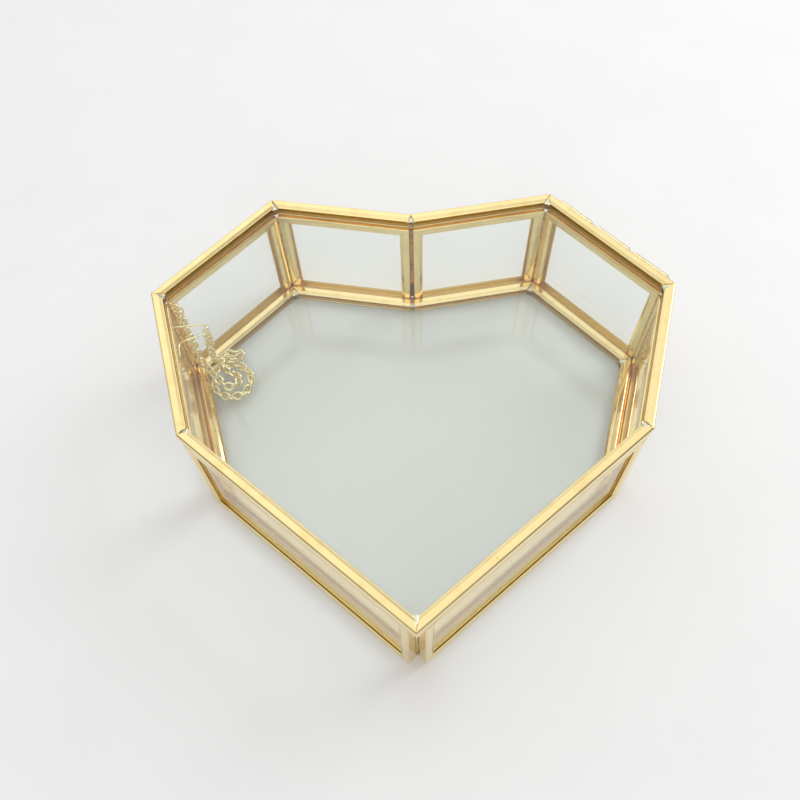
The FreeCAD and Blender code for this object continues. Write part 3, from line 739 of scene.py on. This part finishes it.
def chainTree():
    # oval links along a line, each about a quarter turn from the last and a little askew
    tree, given = newTree("keeper chain", [
        "Pitch", "Link Length", "Link Width", "Wire Radius", "Roll", "Lean"])
    spots = addNode(tree, "GeometryNodeCurveToPoints", {
        "Curve": given["Geometry"], "Length": given["Pitch"]}, mode="LENGTH")
    hoop = addNode(tree, "GeometryNodeCurvePrimitiveCircle", {
        "Resolution": chain["linkSides"], "Radius": 1.0})
    stretch = addNode(tree, "ShaderNodeCombineXYZ", {
        "X": given["Link Width"], "Y": given["Link Length"], "Z": 1.0})
    oval = addNode(tree, "GeometryNodeTransform", {
        "Geometry": hoop.outputs["Curve"], "Scale": stretch.outputs["Vector"]})
    section = addNode(tree, "GeometryNodeCurvePrimitiveCircle", {
        "Resolution": chain["wireSides"], "Radius": given["Wire Radius"]})
    link = addNode(tree, "GeometryNodeCurveToMesh", {
        "Curve": oval.outputs["Geometry"], "Profile Curve": section.outputs["Curve"]})
    smooth = addNode(tree, "GeometryNodeSetShadeSmooth", {"Geometry": link.outputs["Mesh"]})
    upright = addNode(tree, "GeometryNodeTransform", {
        "Geometry": smooth.outputs["Geometry"], "Rotation": (math.pi / 2, 0.0, 0.0)})
    number = addNode(tree, "GeometryNodeInputIndex").outputs["Index"]
    quarter = addNode(tree, "ShaderNodeMath", {
        0: number, 1: math.pi / 2, 2: math.pi / 4}, operation="MULTIPLY_ADD")
    leastRoll = addNode(tree, "ShaderNodeMath", {0: given["Roll"], 1: -1.0}, operation="MULTIPLY")
    roll = addNode(tree, "FunctionNodeRandomValue", {
        2: leastRoll.outputs["Value"], 3: given["Roll"], "ID": number, "Seed": chain["seed"]},
        data_type="FLOAT")
    turn = addNode(tree, "ShaderNodeMath", {
        0: quarter.outputs["Value"], 1: roll.outputs[1]}, operation="ADD")
    spin = addNode(tree, "FunctionNodeAxisAngleToRotation", {
        "Axis": (0.0, 0.0, 1.0), "Angle": turn.outputs["Value"]})
    leastLean = addNode(tree, "ShaderNodeMath", {0: given["Lean"], 1: -1.0}, operation="MULTIPLY")
    lean = addNode(tree, "FunctionNodeRandomValue", {
        2: leastLean.outputs["Value"], 3: given["Lean"], "ID": number, "Seed": chain["seed"] + 1},
        data_type="FLOAT")
    tilt = addNode(tree, "FunctionNodeAxisAngleToRotation", {
        "Axis": (1.0, 0.0, 0.0), "Angle": lean.outputs[1]})
    turned = addNode(tree, "FunctionNodeRotateRotation", {
        "Rotation": spots.outputs["Rotation"], "Rotate By": spin.outputs["Rotation"]},
        rotation_space="LOCAL")
    tilted = addNode(tree, "FunctionNodeRotateRotation", {
        "Rotation": turned.outputs["Rotation"], "Rotate By": tilt.outputs["Rotation"]},
        rotation_space="LOCAL")
    links = addNode(tree, "GeometryNodeInstanceOnPoints", {
        "Points": spots.outputs["Points"], "Instance": upright.outputs["Geometry"],
        "Rotation": tilted.outputs["Rotation"]})
    endTree(tree, links.outputs["Instances"], wireBrass)
    return tree


chainCarrier = lineCarrier("chainLine", chainWay, chain["bendSteps"])
useTree(chainCarrier, chainTree(), {
    "Pitch": chain["pitch"] * mm, "Link Length": chain["linkLength"] * mm,
    "Link Width": chain["linkWidth"] * mm, "Wire Radius": chain["linkWire"] * mm,
    "Roll": chain["roll"], "Lean": chain["lean"]})
dress(applied(chainCarrier, "keeperChainLinks", wireBrass), "box", "chain_brass", "keeper_chain")
print("keeper chain")


# the panes and the hinge pin keep their CAD shape
for node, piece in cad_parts.items():
    if node.endswith("_glass"):
        for slot in piece.material_slots:
            slot.material = glass
    if node == "hinge_pin":
        for slot in piece.material_slots:
            slot.material = wireBrass
print("panes and pin")


# table, light and sky. The table and the light are in metres, the table's drop in mm.
studio = {
    "tableSize": 6.0, "tableDrop": 0.1, "keySize": 1.0, "keyPower": 9.0, "keyPlace": (1.15, 0.8, 1.05),
    "tint": "#fdfdfd", "room": 0.13,
    "window": 1.15, "windowWay": (-0.12, 0.62, 0.775), "windowEdge": -0.1, "windowFalloff": 2.2,
    "ceiling": 1.3, "ceilingWay": (0.0, -0.69, 0.724), "ceilingEdge": 0.0, "ceilingFalloff": 6.0,
}
# fitted to the box's corners in the photo, in mm and degrees
camera = {
    "place": (1.01, -145.96, 298.16), "pitch": 60.30, "yaw": 2.34, "roll": -2.94,
    "focalPixels": 800, "framePixels": 800, "sensor": 36.0, "nearest": 10,
}


def makeTable():
    mesh = bpy.data.meshes.new("table")
    half = studio["tableSize"] / 2
    low = -studio["tableDrop"] * mm
    rim = [(-half, -half, low), (half, -half, low), (half, half, low), (-half, half, low)]
    mesh.from_pydata(rim, [], [(0, 1, 2, 3)])
    newPiece("table", mesh, paleTable())


def softbox(name, size, power, place):
    light = bpy.data.lights.new(name, "AREA")
    light.shape = "DISK"
    light.size = size
    light.energy = power
    lamp = bpy.data.objects.new(name, light)
    bpy.context.scene.collection.objects.link(lamp)
    lamp.location = place
    lamp.rotation_euler = (-Vector(place)).to_track_quat("-Z", "Y").to_euler()


def skyGlow(tree, ray, way, edge, falloff):
    # a soft patch of sky, full towards its way and gone at its edge
    towards = addNode(tree, "ShaderNodeVectorMath", {
        0: ray, 1: way}, operation="DOT_PRODUCT").outputs["Value"]
    share = addNode(tree, "ShaderNodeMapRange", {
        "Value": towards, **span(edge, 1.0, 0.0, 1.0)}).outputs["Result"]
    return addNode(tree, "ShaderNodeMath", {0: share, 1: falloff}, operation="POWER").outputs["Value"]


def makeSky():
    world = bpy.data.worlds.new("studio")
    bpy.context.scene.world = world
    world.use_nodes = True
    tree = world.node_tree
    tree.nodes.clear()
    ray = addNode(tree, "ShaderNodeTexCoord").outputs["Generated"]
    power = studio["room"]
    for glow in ("ceiling", "window"):
        patch = skyGlow(tree, ray, studio[glow + "Way"], studio[glow + "Edge"], studio[glow + "Falloff"])
        power = addNode(tree, "ShaderNodeMath", {
            0: patch, 1: studio[glow], 2: power}, operation="MULTIPLY_ADD").outputs["Value"]
    sky = addNode(tree, "ShaderNodeBackground", {"Color": linear(studio["tint"]), "Strength": power})
    addNode(tree, "ShaderNodeOutputWorld", {"Surface": sky.outputs["Background"]})


def makeCamera():
    data = bpy.data.cameras.new("camera")
    data.sensor_width = camera["sensor"]
    data.lens = camera["sensor"] * camera["focalPixels"] / camera["framePixels"]
    data.clip_start = camera["nearest"] * mm
    eye = bpy.data.objects.new("camera", data)
    bpy.context.scene.collection.objects.link(eye)
    turn = Matrix.Rotation(math.radians(camera["yaw"]), 4, "Z")
    turn @= Matrix.Rotation(math.radians(90 - camera["pitch"]), 4, "X")
    turn @= Matrix.Rotation(math.radians(camera["roll"]), 4, "Z")
    eye.matrix_world = Matrix.Translation(Vector(camera["place"]) * mm) @ turn
    bpy.context.scene.camera = eye


makeTable()
softbox("keyLight", studio["keySize"], studio["keyPower"], studio["keyPlace"])
makeSky()
makeCamera()
print("table, light, sky and camera")
bpy.context.scene.view_settings.view_transform = "Standard"
bpy.context.scene.cycles.transparent_max_bounces = 32  # sight and light both pass many panes
bpy.context.scene.cycles.glossy_bounces = 16  # light rattles about inside the polished channels
bpy.context.scene.cycles.max_bounces = 24
